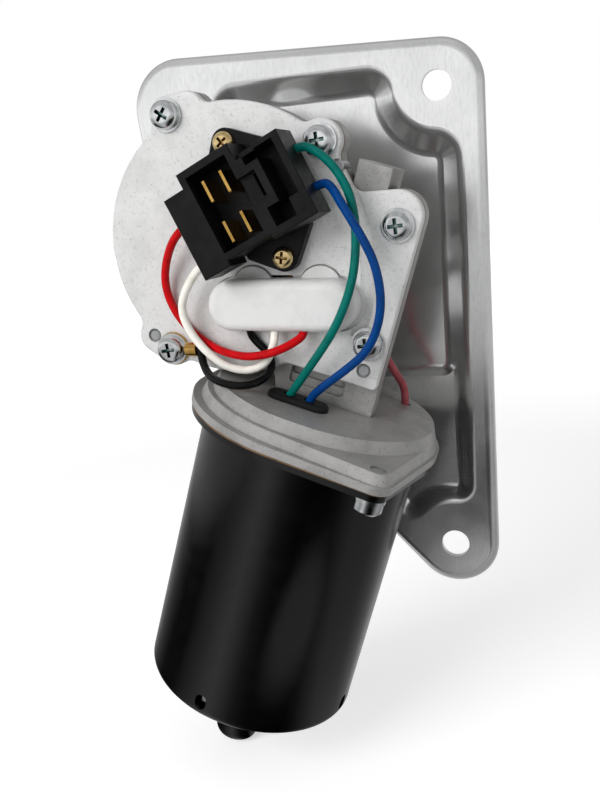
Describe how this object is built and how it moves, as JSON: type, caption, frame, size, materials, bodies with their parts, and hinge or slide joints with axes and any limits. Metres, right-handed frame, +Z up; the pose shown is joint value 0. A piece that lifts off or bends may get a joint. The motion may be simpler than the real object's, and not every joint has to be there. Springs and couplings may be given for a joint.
{
  "type": "wiper motor",
  "caption": "Two-speed wiper motor: worm gearbox and enclosed motor on a stamped mounting bracket, with a plug connector on the gear cover.",
  "frame": {"origin": "on the output shaft's axis, in the plane of the bracket's mounting face", "axes": "+Y along the output shaft, away from the gearbox; +Z up along the bracket's straight side; +X towards that side"},
  "size_m": [0.1178, 0.1058, 0.2251],
  "materials": {
    "zinc_bracket": "bright zinc plated sheet",
    "cast_aluminium": "fine speckled casting",
    "cast_cover": "fine speckled casting",
    "black_can": "black enamel, satin gloss",
    "nylon_white": "natural translucent nylon",
    "connector_black": "black nylon",
    "brass": "bare brass",
    "zinc_screw": "bright zinc plated steel",
    "brass_screw": "yellow passivated steel",
    "steel": "ground steel",
    "gasket_brown": "brown fibre board",
    "rubber_black": "black rubber",
    "red_wire": "red insulation",
    "pink_wire": "dull red insulation",
    "white_wire": "white insulation",
    "black_wire": "black insulation",
    "green_wire": "green insulation",
    "blue_wire": "blue insulation",
    "acetal_gear": "moulded acetal",
    "bronze": "sintered bronze",
    "copper": "copper and enamelled winding wire",
    "ferrite": "sintered ferrite",
    "laminations": "stacked steel sheet",
    "carbon": "carbon",
    "phenolic": "brown phenolic board"
  },
  "bodies": {
    "housing": {"mounting_bracket": "zinc_bracket", "bracket_bolts": "zinc_screw", "bracket_washers": "zinc_screw", "gear_housing": "cast_aluminium", "gear_cover": "cast_cover", "cover_gasket": "gasket_brown", "locating_dowels": "steel", "cover_screws": "zinc_screw", "cover_washers": "zinc_screw", "ring_terminal": "brass", "wire_cap": "nylon_white", "connector_base": "connector_black", "connector_housing": "connector_black", "blade_terminals": "brass", "connector_screws": "brass_screw", "output_bushes": "bronze", "output_seal": "rubber_black", "contact_plate": "phenolic", "park_contacts": "brass", "lug_bush": "bronze", "lug_thrust_pad": "acetal_gear", "bearing_outer_race": "steel", "rear_bush": "bronze", "thrust_ball": "steel", "brush_plate": "phenolic", "brushes": "carbon", "brush_springs": "brass", "yoke_gasket": "gasket_brown", "motor_yoke": "black_can", "magnet_stops": "steel", "yoke_screws": "zinc_screw", "yoke_washers": "zinc_screw", "magnets": "ferrite", "magnet_clips": "steel", "wire_grommet": "rubber_black", "red_lead": "red_wire", "white_lead": "white_wire", "black_lead": "black_wire", "green_lead": "green_wire", "blue_lead": "blue_wire", "rear_lead": "pink_wire"},
    "output": {"worm_wheel": "acetal_gear", "output_shaft": "steel", "park_disc": "brass", "output_circlip": "steel", "output_washer": "steel", "wheel_thrust_washer": "steel"},
    "armature": {"armature_shaft": "steel", "armature_core": "laminations", "armature_windings": "copper", "commutator": "copper", "bearing_inner_race": "steel", "bearing_balls": "steel"}
  },
  "joints": [
    {"name": "armature_spin", "type": "hinge", "parent": "housing", "child": "armature", "pos_m": [0.03266, -0.0395, -0.01112], "axis": [-0.3223, 0, -0.9466], "continuous": true},
    {"name": "output_spin", "type": "hinge", "parent": "housing", "child": "output", "pos_m": [0, 0, 0], "axis": [0, 1, 0], "continuous": true}
  ],
  "couplings": [
    {"joint": "output_spin", "follows": "armature_spin", "ratio": -0.021277}
  ]
}
